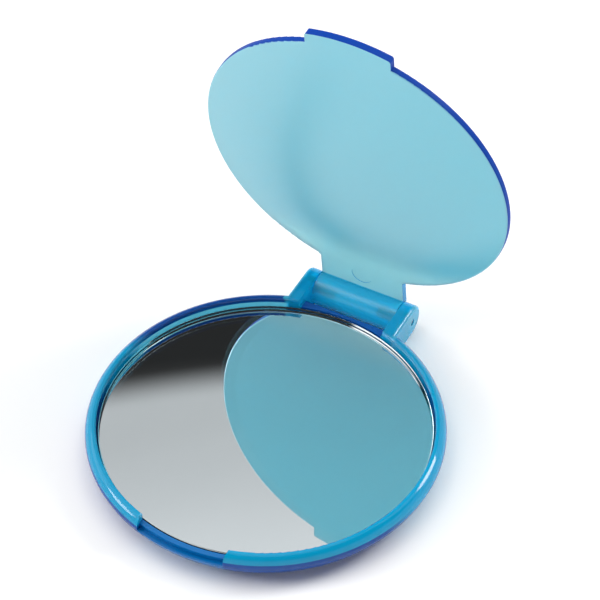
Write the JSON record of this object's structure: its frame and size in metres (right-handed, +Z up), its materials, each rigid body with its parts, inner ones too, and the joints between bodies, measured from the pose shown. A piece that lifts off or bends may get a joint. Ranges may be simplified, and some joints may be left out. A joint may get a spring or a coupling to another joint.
{
  "type": "compact mirror",
  "caption": "Round pocket mirror: translucent plastic tray with a glass mirror and a flat lid that hinges on steel pins and closes flush inside the rim.",
  "frame": {"origin": "centre of the tray's flat underside", "axes": "+Z up, +Y from the front notch towards the hinge, +X to the right; the lid stands open about 83 degrees from closed, as in the picture"},
  "size_m": [0.06, 0.0669, 0.0663],
  "materials": {
    "tray_plastic": "glossy translucent blue polystyrene, darker where it is thick",
    "lid_plastic": "glossy translucent pale blue polystyrene, dark blue at its edges",
    "glass": "clear float glass with a ground edge",
    "silver": "silver coat, painted behind",
    "foam": "double-sided foam tape",
    "steel": "drawn steel wire"
  },
  "bodies": {
    "base": {"base_tray": "tray_plastic", "mirror_glass": "glass", "mirror_backing": "silver", "foam_pad": "foam", "hinge_pin_left": "steel", "hinge_pin_right": "steel"},
    "lid": {"lid": "lid_plastic"}
  },
  "joints": [
    {"name": "lid_hinge", "type": "hinge", "parent": "base", "child": "lid", "pos_m": [0, 0.034, 0.003], "axis": [-1, 0, 0], "range_deg": [-82.7, 97.3]}
  ]
}
